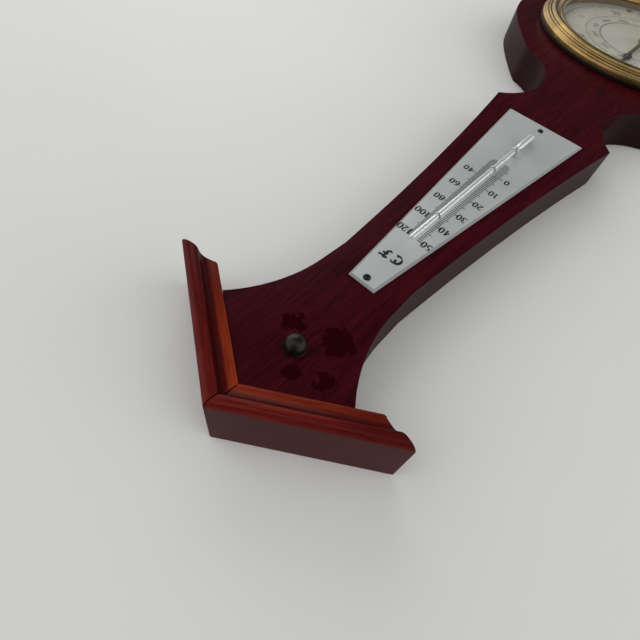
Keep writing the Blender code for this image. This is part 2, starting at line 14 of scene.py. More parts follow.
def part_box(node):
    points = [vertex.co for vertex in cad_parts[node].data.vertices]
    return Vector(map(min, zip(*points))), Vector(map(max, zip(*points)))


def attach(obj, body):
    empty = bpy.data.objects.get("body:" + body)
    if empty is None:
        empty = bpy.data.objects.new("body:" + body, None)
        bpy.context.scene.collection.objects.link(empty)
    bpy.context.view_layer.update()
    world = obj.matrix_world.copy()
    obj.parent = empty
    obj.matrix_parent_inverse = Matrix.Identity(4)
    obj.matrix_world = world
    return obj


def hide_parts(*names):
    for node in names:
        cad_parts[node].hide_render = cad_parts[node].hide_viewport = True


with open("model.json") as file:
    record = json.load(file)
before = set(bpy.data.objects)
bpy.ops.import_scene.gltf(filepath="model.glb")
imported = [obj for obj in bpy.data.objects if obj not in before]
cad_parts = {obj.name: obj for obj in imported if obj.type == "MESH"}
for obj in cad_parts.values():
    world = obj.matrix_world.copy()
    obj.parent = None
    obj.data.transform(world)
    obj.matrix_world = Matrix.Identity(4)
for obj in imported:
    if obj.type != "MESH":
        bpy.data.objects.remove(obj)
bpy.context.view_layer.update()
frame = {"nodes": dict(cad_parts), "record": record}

MM = 0.001
NODES = frame["nodes"]
SLOT_OF = {row["node"]: row["material_slot"] for row in frame["record"]["subparts"]}
BODY_OF = {node: body for body, members in frame["record"]["behaviour"]["bodies"].items()
           for node in members}
INK_LIFT = 0.03 * MM          # how far printing stands in front of what carries it

# slope of the gable strips from the level
GABLE_SLOPE = math.radians(32.9)
# local x, y, z of a front-facing piece become right, up and towards the viewer
FRONT = Matrix(((1, 0, 0, 0), (0, 0, -1, 0), (0, 1, 0, 0), (0, 0, 0, 1)))


def unshaded(piece):
    """Clear glass lets light through to what lies under it, without a shadow."""
    piece.visible_shadow = False
    piece.visible_diffuse = False
    return piece


def centre_of(node):
    low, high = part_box(node)
    return (low + high) / 2


def front_depth(node):
    return -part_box(node)[0].y


DIAL = centre_of("bezel")
KNOB = centre_of("finial_knob")
BEZEL_RADIUS = (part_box("bezel")[1].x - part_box("bezel")[0].x) / 2
GABLE_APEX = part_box("gable_moulding_right")[1].z


# ---------------------------------------------------------------- materials

class Paint:
    """One procedural material: a Principled shader with nodes that feed it."""

    def __init__(self, name, **values):
        self.material = bpy.data.materials.new(name)
        self.material.use_nodes = True
        self.tree = self.material.node_tree
        self.shader = self.tree.nodes["Principled BSDF"]
        self.coords = self.tree.nodes.new("ShaderNodeTexCoord").outputs["Object"]
        for key, value in values.items():
            self.set(key.replace("_", " "), value)

    def set(self, key, value):
        socket = self.shader.inputs[key]
        if isinstance(value, bpy.types.NodeSocket):
            self.tree.links.new(value, socket)
        elif socket.type == "RGBA":
            socket.default_value = (*value, 1.0)
        else:
            socket.default_value = value

    def node(self, kind, inputs=(), **settings):
        made = self.tree.nodes.new(kind)
        for key, value in settings.items():
            setattr(made, key, value)
        for key, value in dict(inputs).items():
            socket = made.inputs[key]
            if isinstance(value, bpy.types.NodeSocket):
                self.tree.links.new(value, socket)
            else:
                socket.default_value = value
        return made

    def place(self, scale=(1, 1, 1), turn=(0, 0, 0), shift=(0, 0, 0)):
        """Object coordinates turned and shifted first, and stretched after."""
        turned = self.node("ShaderNodeMapping", {"Vector": self.coords, "Rotation": turn, "Location": shift})
        made = self.node("ShaderNodeMapping", {"Vector": turned.outputs["Vector"], "Scale": scale})
        return made.outputs["Vector"]

    def noise(self, scale, detail=3.0, stretch=(1, 1, 1), turn=(0, 0, 0), roughness=0.5, distortion=0.0):
        spot = self.place([scale * s for s in stretch], turn)
        made = self.node("ShaderNodeTexNoise", {"Vector": spot, "Scale": 1.0, "Detail": detail,
                                                "Roughness": roughness, "Distortion": distortion})
        return made.outputs["Fac"]

    def math(self, operation, a, b=0.0, clamp=False):
        made = self.node("ShaderNodeMath", {0: a, 1: b}, operation=operation, use_clamp=clamp)
        return made.outputs[0]

    def span(self, value, low, high, to_low=0.0, to_high=1.0, smooth=False):
        made = self.node("ShaderNodeMapRange", {"Value": value, "From Min": low, "From Max": high,
                                                "To Min": to_low, "To Max": to_high})
        made.interpolation_type = "SMOOTHSTEP" if smooth else "LINEAR"
        return made.outputs["Result"]

    def ramp(self, value, stops):
        made = self.node("ShaderNodeValToRGB", {"Fac": value})
        elements = made.color_ramp.elements
        while len(elements) < len(stops):
            elements.new(0.5)
        for element, (place, colour) in zip(elements, stops):
            element.position = place
            element.color = (*colour, 1.0)
        return made.outputs["Color"]

    def axis(self, name):
        """One object coordinate, as X, Y or Z."""
        return self.node("ShaderNodeSeparateXYZ", {0: self.coords}).outputs[name]

    def mix(self, factor, a, b):
        made = self.node("ShaderNodeMix", {0: factor}, data_type="RGBA")
        for socket, value in ((made.inputs[6], a), (made.inputs[7], b)):
            if isinstance(value, bpy.types.NodeSocket):
                self.tree.links.new(value, socket)
            else:
                socket.default_value = (*value, 1.0)
        return made.outputs[2]

    def distance_to(self, point):
        made = self.node("ShaderNodeVectorMath", {0: self.coords, 1: point}, operation="DISTANCE")
        return made.outputs["Value"]

    def bump(self, height, strength, depth):
        made = self.node("ShaderNodeBump", {"Height": height, "Strength": strength, "Distance": depth})
        self.set("Normal", made.outputs["Normal"])


# colour of the painted shade on the wood's sideways-facing faces
SIDE_SHADE_COLOUR = (0.008, 0.0040, 0.0040)


def wood(name, dark, light, turn=(0.0, 0.0, 0.0)):
    """Stained wood with grain along local Z; returns its grain and colour for more work."""
    paint = Paint(name, Coat_Roughness=0.16, Coat_IOR=1.33, Specular_IOR_Level=0.0)
    streaks = paint.noise(2200, 5.0, (1.0, 1.0, 0.045), turn, 0.65)
    figure = paint.noise(260, 3.0, (1.0, 1.0, 0.10), turn, 0.5, 0.8)
    pores = paint.noise(4600, 2.0, (1.0, 1.0, 0.05), turn, 0.5)
    blend = paint.math("ADD", paint.math("MULTIPLY", streaks, 0.55), paint.math("MULTIPLY", figure, 0.45))
    middle = [(a + b) / 2 for a, b in zip(dark, light)]
    colour = paint.ramp(blend, [(0.34, dark), (0.52, middle), (0.68, light)])
    dark_pores = paint.span(pores, 0.60, 0.70, smooth=True)
    colour = paint.mix(paint.math("MULTIPLY", dark_pores, 0.55), colour, [c * 0.25 for c in dark])
    # painted shade: faces turned sideways are painted darker than the front face, under a slightly thicker
    # coat
    facing = paint.node("ShaderNodeSeparateXYZ", {0: paint.node("ShaderNodeTexCoord").outputs["Normal"]})
    side = paint.span(paint.math("ABSOLUTE", facing.outputs["Y"]), 0.05, 0.30, 1.0, 0.0, smooth=True)
    colour = paint.mix(side, colour, paint.mix(0.80, colour, SIDE_SHADE_COLOUR))
    paint.set("Coat Weight", paint.span(side, 0.0, 1.0, 0.28, 0.30))
    paint.set("Roughness", paint.span(streaks, 0.3, 0.7, 0.30, 0.44))
    relief = paint.math("SUBTRACT", streaks, paint.math("MULTIPLY", dark_pores, 0.6))
    paint.bump(relief, 0.22, 0.10 * MM)
    return paint, colour


# middle of each patch from the knob, and its size, mm
WET_PATCHES = ((6.8, -6.2, 4.2), (-8.4, -11.0, 6.0), (-5.5, 7.0, 3.5), (-14.0, 2.6, 4.0))


def board_wood():
    dark, light = (0.017, 0.0012, 0.0026), (0.070, 0.0050, 0.0090)
    paint, colour = wood("lacquered_board_wood", dark, light)
    # wet-looking patches of thicker varnish round the knob
    edge = paint.noise(330, 4.0, (1.0, 1.0, 0.9), (0.3, 0.2, 0.1), 0.6, 0.5)
    wet = None
    for dx, dz, size in WET_PATCHES:
        spot = KNOB + Vector((dx, 0.0, dz)) * MM
        near = paint.span(paint.distance_to(spot), 0.0, 2 * size * MM, 1.0, 0.0)
        ragged = paint.math("ADD", near, paint.math("MULTIPLY", edge, 0.9))
        patch = paint.span(ragged, 0.93, 0.99, smooth=True)
        wet = patch if wet is None else paint.math("MAXIMUM", wet, patch)
    colour = paint.mix(wet, colour, paint.mix(0.85, colour, (0.017, 0.0004, 0.0008)))
    paint.set("Base Color", colour)
    paint.set("Coat Roughness", paint.span(wet, 0.0, 1.0, 0.26, 0.04))
    return paint.material


def gable_inward(side):
    """Unit direction from a gable strip's outer face towards the board."""
    return Vector((-side * math.sin(GABLE_SLOPE), 0.0, -math.cos(GABLE_SLOPE)))


def moulding_wood(side):
    """Cherry stain that is thin and orange on the inner bead; the cove is painted dark red as painted shade.
    """
    lean = side * (math.pi / 2 - GABLE_SLOPE)
    name = "moulding_wood_" + ("right" if side > 0 else "left")
    paint, colour = wood(name, (0.060, 0.0045, 0.0045), (0.190, 0.017, 0.011), (0.0, lean, 0.0))
    across = paint.node("ShaderNodeVectorMath", {0: paint.coords, 1: gable_inward(side)},
                        operation="DOT_PRODUCT").outputs["Value"]
    inward = paint.math("ADD", across, GABLE_APEX * math.cos(GABLE_SLOPE))
    lip = paint.span(inward, 5.6 * MM, 6.2 * MM, smooth=True)
    colour = paint.mix(paint.math("MULTIPLY", lip, 0.6), colour, (0.065, 0.006, 0.005))
    bead = paint.span(inward, 6.7 * MM, 7.9 * MM, smooth=True)
    thin = paint.noise(45, 2.0, (1.0, 1.0, 0.5), (0.0, lean, 0.0))
    bead = paint.math("MULTIPLY", bead, paint.span(thin, 0.3, 0.62, 0.35, 1.0), clamp=True)
    fibre = paint.noise(3000, 3.0, (1.0, 1.0, 0.03), (0.0, lean, 0.0))
    orange = paint.ramp(fibre, [(0.38, (0.20, 0.022, 0.008)), (0.60, (0.33, 0.043, 0.015))])
    colour = paint.mix(bead, colour, orange)
    # painted shade: the cove is darkened
    cove = paint.math("MULTIPLY", paint.span(inward, 3.6 * MM, 4.6 * MM, smooth=True),
                      paint.span(inward, 6.9 * MM, 5.6 * MM, smooth=True))
    colour = paint.mix(paint.math("MULTIPLY", cove, 0.75), colour, (0.018, 0.0012, 0.0016))
    mitre = (0.0, -24 * MM, GABLE_APEX)
    far = paint.span(paint.distance_to(mitre), 8 * MM, 62 * MM)
    colour = paint.mix(paint.math("MULTIPLY", far, 0.62), colour, (0.035, 0.0025, 0.0042))
    paint.set("Base Color", colour)
    return paint.material


def scale_metal():
    paint = Paint("scale_aluminium", Metallic=0.30, Specular_IOR_Level=0.5)
    rolled = paint.noise(1800, 3.0, (1.0, 1.0, 0.02))
    cloud = paint.noise(35, 2.0)
    colour = paint.ramp(cloud, [(0.35, (0.50, 0.525, 0.52)), (0.65, (0.56, 0.585, 0.58))])
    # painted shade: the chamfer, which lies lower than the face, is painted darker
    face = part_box("thermometer_plate")[0].y
    rim = paint.span(paint.axis("Y"), face + 0.01 * MM, face + 0.09 * MM, smooth=True)
    paint.set("Base Color", paint.mix(rim, colour, (0.25, 0.255, 0.255)))
    paint.set("Roughness", paint.span(rolled, 0.3, 0.7, 0.36, 0.46))
    paint.bump(rolled, 0.05, 0.02 * MM)
    return paint.material


def brass(name, colour):
    """Polished brass with light stains; returns its colour and its scratches for more work."""
    paint = Paint(name, Metallic=1.0)
    stain = paint.noise(55, 4.0, roughness=0.6)
    polished = paint.ramp(stain, [(0.35, [c * 0.62 for c in colour]), (0.62, colour)])
    scratches = paint.noise(900, 3.0)
    paint.set("Roughness", paint.span(scratches, 0.3, 0.7, 0.26, 0.40))
    return paint, polished, scratches


def movement_brass():
    paint, polished, scratches = brass("movement_brass", (0.50, 0.36, 0.17))
    paint.set("Base Color", polished)
    paint.bump(scratches, 0.08, 0.03 * MM)
    return paint.material


TURNING_RINGS = 5200.0        # how fast the lathe marks change with radius, per metre
BEZEL_SHADE_DEPTH = 21.2 * MM     # depth up to which the bezel's flank is painted dark, as painted shade next to the board
# colour of the painted shade at the foot of the bezel's flank
FLANK_SHADE_COLOUR = (0.012, 0.009, 0.006)


def turned_brass():
    """Brass with lathe marks round the dial's axis, with painted shade darkening the foot of the bezel's
    flank.
    """
    paint, polished, _ = brass("polished_brass", (0.38, 0.25, 0.095))
    shifted = paint.place(shift=(-DIAL.x, 0.0, -DIAL.z))
    flat = paint.node("ShaderNodeVectorMath", {0: shifted, 1: (1.0, 0.0, 1.0)}, operation="MULTIPLY")
    length = paint.node("ShaderNodeVectorMath", {0: flat.outputs["Vector"]}, operation="LENGTH")
    radius = length.outputs["Value"]
    # painted shade: the foot of the flank, by the board, is painted dark and made less metallic
    flank = paint.span(radius, BEZEL_RADIUS - 1.0 * MM, BEZEL_RADIUS - 0.2 * MM)
    foot = paint.span(paint.axis("Y"), -BEZEL_SHADE_DEPTH - 0.8 * MM, -BEZEL_SHADE_DEPTH)
    flank_shade = paint.math("MULTIPLY", flank, foot)
    paint.set("Base Color", paint.mix(flank_shade, polished, FLANK_SHADE_COLOUR))
    paint.set("Metallic", paint.span(flank_shade, 0.0, 1.0, 1.0, 0.2))
    rings = paint.node("ShaderNodeTexNoise",
                       {"W": paint.math("MULTIPLY", radius, TURNING_RINGS), "Scale": 1.0, "Detail": 3.0},
                       noise_dimensions="1D").outputs["Fac"]
    paint.bump(rings, 0.16, 0.05 * MM)
    return paint.material


def plain_metal(name, colour, rough=(0.25, 0.42), metallic=1.0, grain=1200, relief=0.1):
    paint = Paint(name, Metallic=metallic)
    marks = paint.noise(grain, 4.0, roughness=0.6)
    paint.set("Base Color", paint.ramp(marks, [(0.3, [c * 0.75 for c in colour]), (0.7, colour)]))
    paint.set("Roughness", paint.span(marks, 0.3, 0.7, *rough))
    paint.bump(marks, relief, 0.04 * MM)
    return paint.material


def bronze():
    paint = Paint("knob_bronze", Metallic=0.2, Specular_IOR_Level=0.25)
    patina = paint.noise(420, 4.0, roughness=0.65)
    dark, light = (0.005, 0.0034, 0.0024), (0.020, 0.0135, 0.008)
    paint.set("Base Color", paint.ramp(patina, [(0.35, dark), (0.7, light)]))
    paint.set("Roughness", paint.span(patina, 0.3, 0.7, 0.26, 0.40))
    paint.bump(patina, 0.3, 0.06 * MM)
    return paint.material


def glass(name, roughness, colour, clearness):
    paint = Paint(name, Base_Color=colour, IOR=1.47, Transmission_Weight=clearness)
    smear = paint.noise(60, 3.0)
    paint.set("Roughness", paint.span(smear, 0.4, 0.7, roughness, roughness + 0.05))
    return paint.material


def liquid():
    paint = Paint("thermometer_liquid", Metallic=0.6)
    swirl = paint.noise(500, 2.0)
    paint.set("Base Color", paint.ramp(swirl, [(0.3, (0.50, 0.51, 0.52)), (0.7, (0.66, 0.67, 0.68))]))
    paint.set("Roughness", paint.span(swirl, 0.3, 0.7, 0.18, 0.3))
    return paint.material


def enamel():
    paint = Paint("dial_enamel", Coat_Weight=0.3, Coat_Roughness=0.2)
    age = paint.noise(28, 4.0, roughness=0.6)
    paint.set("Base Color", paint.ramp(age, [(0.35, (0.66, 0.62, 0.50)), (0.65, (0.75, 0.72, 0.62))]))
    peel = paint.noise(1500, 2.0)
    paint.set("Roughness", paint.span(peel, 0.3, 0.7, 0.38, 0.5))
    paint.bump(peel, 0.04, 0.02 * MM)
    return paint.material


def ink(name, colour):
    paint = Paint(name, Specular_IOR_Level=0.3)
    wear = paint.noise(2600, 2.0)
    paint.set("Base Color", paint.ramp(wear, [(0.35, colour), (0.75, [c * 2.2 for c in colour])]))
    paint.set("Roughness", paint.span(wear, 0.3, 0.7, 0.5, 0.65))
    return paint.material


MATERIALS = {
    "lacquered_wood": board_wood(),
    "moulding_left": moulding_wood(-1),
    "moulding_right": moulding_wood(1),
    "knob_bronze": bronze(),
    "scale_aluminium": scale_metal(),
    "black_screws": plain_metal("black_screw", (0.018, 0.019, 0.020), (0.3, 0.5), 0.7, 2500),
    "clear_glass": glass("dial_glass", 0.02, (0.96, 0.98, 0.97), 1.0),
    "tube_glass": glass("tube_glass", 0.26, (0.56, 0.58, 0.60), 0.35),
    "thermometer_liquid": liquid(),
    "bright_steel": plain_metal("bright_steel", (0.55, 0.55, 0.56)),
    "polished_brass": turned_brass(),
    "movement_brass": movement_brass(),
    "case_metal": plain_metal("case_metal", (0.46, 0.47, 0.48), (0.3, 0.5), 1.0, 700, 0.15),
    "dial_face": enamel(),
    "blued_steel": plain_metal("blued_steel", (0.015, 0.017, 0.030), (0.22, 0.35), 0.9, 1500, 0.05),
    "ink": ink("printing_ink", (0.008, 0.008, 0.009)),
    "faded_ink": ink("faded_ink", (0.030, 0.031, 0.033)),
    "dial_ink": ink("dial_ink", (0.010, 0.010, 0.011)),
}


def dress(piece, key, node=None):
    """Give a piece its material and body; it stands for node if one is named."""
    piece.data.materials.clear()
    piece.data.materials.append(MATERIALS[key])
    if node:
        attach(piece, BODY_OF[node])
        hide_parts(node)
    return piece


# ---------------------------------------------------------------- mesh helpers

def new_piece(name, bm, matrix=Matrix.Identity(4), smooth_angle=35.0, solid=True):
    mesh = bpy.data.meshes.new(name)
    bm.transform(matrix)
    if solid:
        bmesh.ops.recalc_face_normals(bm, faces=bm.faces)
    bm.to_mesh(mesh)
    bm.free()
    mesh.shade_smooth()
    mesh.set_sharp_from_angle(angle=math.radians(smooth_angle))
    piece = bpy.data.objects.new(name, mesh)
    bpy.context.scene.collection.objects.link(piece)
    return piece


def rounded_copy(node, name, width, key, segments=2, angle=40.0, smooth_angle=35.0):
    """The CAD solid again, with each edge sharper than angle eased, apart from those on the back plane."""
    bm = bmesh.new()
    bm.from_mesh(NODES[node].data)
    bmesh.ops.remove_doubles(bm, verts=bm.verts, dist=0.002 * MM)
    bmesh.ops.dissolve_limit(bm, angle_limit=math.radians(0.5), verts=bm.verts, edges=bm.edges)
    weight = bm.edges.layers.float.new("bevel_weight_edge")
    for edge in bm.edges:
        away = all(-vert.co.y > 0.5 * MM for vert in edge.verts)
        if away and edge.is_manifold and edge.calc_face_angle(0.0) > math.radians(angle):
            edge[weight] = 1.0
    piece = new_piece(name, bm, smooth_angle=smooth_angle)
    mod = piece.modifiers.new("eased_edges", "BEVEL")
    mod.width = width
    mod.segments = segments
    mod.limit_method = "WEIGHT"
    mod.use_clamp_overlap = True
    return dress(piece, key, node)


def lathe(name, profile, matrix, steps):
    """Turn (radius, height) points in metres about local Z."""
    bm = bmesh.new()
    verts = [bm.verts.new((r, 0.0, h)) for r, h in profile]
    edges = [bm.edges.new(pair) for pair in zip(verts, verts[1:])]
    bmesh.ops.spin(bm, geom=verts + edges, axis=(0, 0, 1), cent=(0, 0, 0), steps=steps,
                   angle=2 * math.pi, use_merge=True)
    bmesh.ops.remove_doubles(bm, verts=bm.verts, dist=0.001 * MM)
    return new_piece(name, bm, matrix, 30.0)


def rounded_profile(points, radius, steps=4):
    """Round the inner corners of an open (r, h) polyline with short curves."""
    out = [points[0]]
    for before, corner, after in zip(points, points[1:], points[2:]):
        b, c, a = Vector(before), Vector(corner), Vector(after)
        cut = min(radius, (b - c).length * 0.45, (a - c).length * 0.45)
        start, end = c + (b - c).normalized() * cut, c + (a - c).normalized() * cut
        for i in range(steps + 1):
            t = i / steps
            out.append(tuple(start * (1 - t) ** 2 + c * 2 * t * (1 - t) + end * t * t))
    out.append(points[-1])
    return out


def wire(name, points, radius, node, key):
    """A round wire along a list of points, as a curve with a bevel, in place of a CAD one."""
    curve = bpy.data.curves.new(name, "CURVE")
    curve.dimensions = "3D"
    curve.bevel_depth = radius
    curve.bevel_resolution = 3
    curve.use_fill_caps = True
    spline = curve.splines.new("POLY")
    spline.points.add(len(points) - 1)
    for point, place in zip(spline.points, points):
        point.co = (*place, 1.0)
    piece = bpy.data.objects.new(name, curve)
    bpy.context.scene.collection.objects.link(piece)
    return dress(piece, key, node)


# ---------------------------------------------------------------- printed figures

def ellipse(cx, cy, rx, ry, start=0.0, end=360.0, steps=24):
    """Points round an ellipse; degrees run anticlockwise from the right."""
    turn = [math.radians(start + (end - start) * i / steps) for i in range(steps + 1)]
    return [(cx + rx * math.cos(t), cy + ry * math.sin(t)) for t in turn]


# Each figure is a list of strokes in a box one unit high, with its width.
FIGURES = {
    "0": (0.62, [ellipse(0.31, 0.5, 0.22, 0.46)]),
    "1": (0.46, [[(0.24, 0.96), (0.24, 0.03)], [(0.06, 0.80), (0.14, 0.86), (0.24, 0.96)],
                 [(0.08, 0.03), (0.40, 0.03)]]),
    "2": (0.60, [ellipse(0.30, 0.70, 0.20, 0.26, 165, -20, 14) + [(0.30, 0.28), (0.08, 0.05)],
                 [(0.07, 0.05), (0.50, 0.05), (0.53, 0.16)]]),
    "3": (0.60, [ellipse(0.28, 0.74, 0.18, 0.22, 155, -85, 14),
                 ellipse(0.28, 0.28, 0.22, 0.25, 85, -150, 16)]),
    "4": (0.62, [[(0.40, 0.96), (0.05, 0.30), (0.57, 0.30)], [(0.40, 0.96), (0.40, 0.03)],
                 [(0.27, 0.03), (0.53, 0.03)]]),
    "5": (0.60, [[(0.50, 0.93), (0.16, 0.93), (0.14, 0.52)], ellipse(0.27, 0.32, 0.22, 0.28, 120, -150, 16)]),
    "6": (0.62, [ellipse(0.36, 0.48, 0.26, 0.47, 70, 180, 12), ellipse(0.31, 0.29, 0.21, 0.26)]),
    "7": (0.56, [[(0.08, 0.80), (0.09, 0.93), (0.50, 0.93), (0.22, 0.03)]]),
    "8": (0.62, [ellipse(0.31, 0.74, 0.17, 0.21), ellipse(0.31, 0.28, 0.22, 0.26)]),
    "9": (0.62, [ellipse(0.26, 0.52, 0.26, 0.47, -110, 0, 12), ellipse(0.31, 0.71, 0.21, 0.26)]),
    "C": (0.95, [ellipse(0.50, 0.48, 0.36, 0.42, 75, 315, 20), [(0.50, 0.90), (0.74, 0.98), (0.88, 0.80)],
                 [(0.56, 0.80), (0.56, 0.52)]]),
    "F": (0.90, [[(0.40, 0.86), (0.40, 0.20), (0.24, 0.04), (0.06, 0.14)],
                 [(0.10, 0.80), (0.34, 0.94), (0.62, 0.82), (0.84, 0.92)],
                 [(0.22, 0.50), (0.70, 0.52)], [(0.56, 0.62), (0.60, 0.42)]]),
}


def stroke(bm, path, thick, thin, nib, place):
    """A pen stroke: its width goes from thin to thick with its angle to the nib."""
    rails = []
    count = len(path)
    for i, point in enumerate(path):
        before = Vector(path[max(i - 1, 0)])
        after = Vector(path[min(i + 1, count - 1)])
        along = (after - before).normalized()
        half = (thin + (thick - thin) * abs(along.cross(nib))) / 2
        side = Vector((-along.y, along.x)) * half
        spot = Vector(point)
        rails.append([bm.verts.new(place @ (spot + s).to_3d()) for s in (side, -side)])
    for a, b in zip(rails, rails[1:]):
        bm.faces.new((a[0], a[1], b[1], b[0]))


LETTER_GAP = 0.06             # between figures, in heights of a figure
STROKE_LIFT = 0.002 * MM      # keeps crossing strokes off each other


def write(bm, text, matrix, height, nib_turn=0.0, weight=(0.15, 0.055)):
    """Draw text centred on matrix's origin, its baseline along local X; weight is thick and thin."""
    nib = Vector((math.cos(nib_turn), math.sin(nib_turn)))
    widths = [FIGURES[char][0] for char in text]
    x = -(sum(widths) + LETTER_GAP * (len(text) - 1)) / 2
    for char, width in zip(text, widths):
        for layer, path in enumerate(FIGURES[char][1]):
            lift = layer * STROKE_LIFT
            place = matrix @ Matrix.Translation((x * height, -height / 2, lift)) @ Matrix.Scale(height, 4)
            stroke(bm, path, *weight, nib, place)
        x += width + LETTER_GAP


def tick(bm, matrix, x0, x1, y, width):
    corners = [(x0, y - width / 2), (x1, y - width / 2), (x1, y + width / 2), (x0, y + width / 2)]
    bm.faces.new([bm.verts.new(matrix @ Vector((*c, 0.0))) for c in corners])


def printed(name, bm, key):
    """Printing on the plate or the dial, which both belong to the case."""
    piece = new_piece(name, bm, solid=False)
    dress(piece, key)
    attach(piece, "case")


# ---------------------------------------------------------------- wooden case

INNER_EDGE_FROM = 9.6 * MM    # how far in from the gable's apex line a strip's inner edge starts
INNER_EDGE_PUSH = 0.3 * MM


def wooden_case():
    rounded_copy("case_board", "board", 0.55 * MM, "lacquered_wood", 3, smooth_angle=17.0)
    apex = Vector((0.0, 0.0, GABLE_APEX))
    for side, hand in ((-1, "left"), (1, "right")):
        strip = rounded_copy("gable_moulding_" + hand, "gable_" + hand, 0.30 * MM, "moulding_" + hand, 2, 50)
        inward = gable_inward(side)
        for vert in strip.data.vertices:
            if (vert.co - apex).dot(inward) > INNER_EDGE_FROM:
                vert.co += inward * INNER_EDGE_PUSH
    finial()


def finial():
    """The knob: a dome on a short collar."""
    low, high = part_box("finial_knob")
    foot = front_depth("case_board")
    radius, top = (high.x - low.x) / 2, -low.y - foot
    collar = 0.9 * MM
    dome = [(0.0, top)]
    steps = 12
    for i in range(1, steps + 1):
        t = math.radians(90 * i / steps)
        dome.append((radius * 0.97 * math.sin(t), collar + (top - collar) * math.cos(t)))
    dome += [(radius, 0.75 * MM), (radius, 0.45 * MM), (radius * 0.96, 0.05 * MM), (0.0, 0.05 * MM)]
    matrix = Matrix.Translation((KNOB.x, -foot, KNOB.z)) @ FRONT
    dress(lathe("knob", dome, matrix, 64), "knob_bronze", "finial_knob")


# ---------------------------------------------------------------- thermometer

HEAD_RADIUS, HEAD_HEIGHT, HEAD_SLOT = 1.4 * MM, 0.95 * MM, 0.5 * MM


def slotted_head(name, node, key, seat, turn):
    """A domed screw head with a driver slot, in place of a CAD screw."""
    spot = centre_of(node)
    profile = [(0.0, HEAD_HEIGHT)]
    steps = 8
    for i in range(1, steps):
        t = math.radians(90 * i / steps)
        profile.append((HEAD_RADIUS * math.sin(t), HEAD_HEIGHT * math.cos(t) ** 0.8))
    profile += [(HEAD_RADIUS, 0.0), (0.0, 0.0)]
    matrix = Matrix.Translation((spot.x, -seat, spot.z)) @ FRONT
    head = lathe(name, profile, matrix, 32)
    bm = bmesh.new()
    bmesh.ops.create_cube(bm, size=1.0)
    bm.transform(Matrix.Translation((0, 0, HEAD_HEIGHT)) @ Matrix.Rotation(turn, 4, "Z")
                 @ Matrix.Diagonal((HEAD_RADIUS * 3, HEAD_SLOT, HEAD_HEIGHT * 0.9, 1)))
    cutter = new_piece(name + "_slot", bm, matrix)
    mod = head.modifiers.new("slot", "BOOLEAN")
    mod.operation = "DIFFERENCE"
    mod.object = cutter
    bpy.context.view_layer.update()
    graph = bpy.context.evaluated_depsgraph_get()
    mesh = bpy.data.meshes.new_from_object(head.evaluated_get(graph))
    head.modifiers.clear()
    head.data = mesh
    bpy.data.objects.remove(cutter)
    dress(head, key, node)


# the printed scale, in millimetres
CELSIUS_TOP, CELSIUS_TOP_UP = 50, -44.6
CELSIUS_STEP = 1.178
PRINT_END = -115.0            # where both rows of ticks run out
PRINT_CORNER = 4.0            # height of the rows' last, rounded corner
CORNER_START = 1.9            # how far out that corner begins
TICK_START, TICK_REACH, TICK_SPREAD = 1.3, 3.0, 1.9
FIVES_LONGER, TENS_LONGER = 0.8, 1.5
FIGURE_HEIGHT, FIGURE_WEIGHT = 3.45, (0.20, 0.08)
LETTER_HEIGHT, LETTER_WEIGHT = 4.7, (0.27, 0.08)
LETTERS = (("C", -2.5, -30.6), ("F", 2.6, -30.2))
# how far each figure's middle is from the plate's middle line
NUMBERED_C = {50: 5.7, 40: 6.1, 30: 6.8, 20: 7.4, 10: 8.0, 0: 8.3}
NUMBERED_F = {120: 5.5, 100: 6.2, 80: 6.7, 60: 7.5, 40: 8.3}


def celsius_up(degrees):
    return CELSIUS_TOP_UP - (CELSIUS_TOP - degrees) * CELSIUS_STEP


def fahrenheit_up(degrees):
    return celsius_up((degrees - 32) / 1.8)


def tick_row(bm, sheet, side, degrees, up_of, width):
    """Ticks from the tube outwards; the row grows wider downwards and ends in a round corner."""
    for value in degrees:
        up = up_of(value)
        spread = (CELSIUS_TOP_UP - up) / (CELSIUS_TOP_UP - PRINT_END)
        reach = TICK_REACH + TICK_SPREAD * spread
        left = (up - PRINT_END) / PRINT_CORNER
        if left < 1.0:
            bend = math.sqrt(max(1.0 - (1.0 - left) ** 2, 0.02))
            reach = CORNER_START + (reach - CORNER_START) * bend
        elif value % 10 == 0 and (side < 0 or value % 20 == 0):
            reach += TENS_LONGER
        elif value % 5 == 0 and side < 0 or value % 10 == 0:
            reach += FIVES_LONGER
        ends = sorted((side * TICK_START * MM, side * reach * MM))
        tick(bm, sheet, ends[0], ends[1], up * MM, width * MM)


def scale_plate():
    """The plate with a worn chamfer round its face, tapering like the CAD one."""
    mesh = NODES["thermometer_plate"].data
    low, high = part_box("thermometer_plate")
    near = 0.15 * MM
    rows = []
    for level in (high.z, low.z):
        xs = [v.co.x for v in mesh.vertices if abs(v.co.z - level) < near]
        rows.append((min(xs), max(xs), level))
    (tl, tr, top), (bl, br, bottom) = rows
    outline = [Vector(p) for p in ((tl, top), (tr, top), (br, bottom), (bl, bottom))]

    def inset(by):
        out = []
        for i, corner in enumerate(outline):
            a = (outline[i - 1] - corner).normalized()
            b = (outline[(i + 1) % 4] - corner).normalized()
            out.append(corner + (a + b) * by / abs(a.cross(b)))
        return out

    bm = bmesh.new()
    rings = []
    back, front = high.y, low.y
    for by, y in ((0.0, back), (0.0, front + 0.70 * MM), (0.12 * MM, front + 0.58 * MM),
                  (0.90 * MM, front + 0.10 * MM), (1.10 * MM, front)):
        rings.append([bm.verts.new((p.x, y, p.y)) for p in inset(by)])
    for a, b in zip(rings, rings[1:]):
        for i in range(4):
            j = (i + 1) % 4
            bm.faces.new((a[i], a[j], b[j], b[i]))
    bm.faces.new(rings[0])
    bm.faces.new(rings[-1])
    dress(new_piece("scale_plate", bm, smooth_angle=20.0), "scale_aluminium", "thermometer_plate")


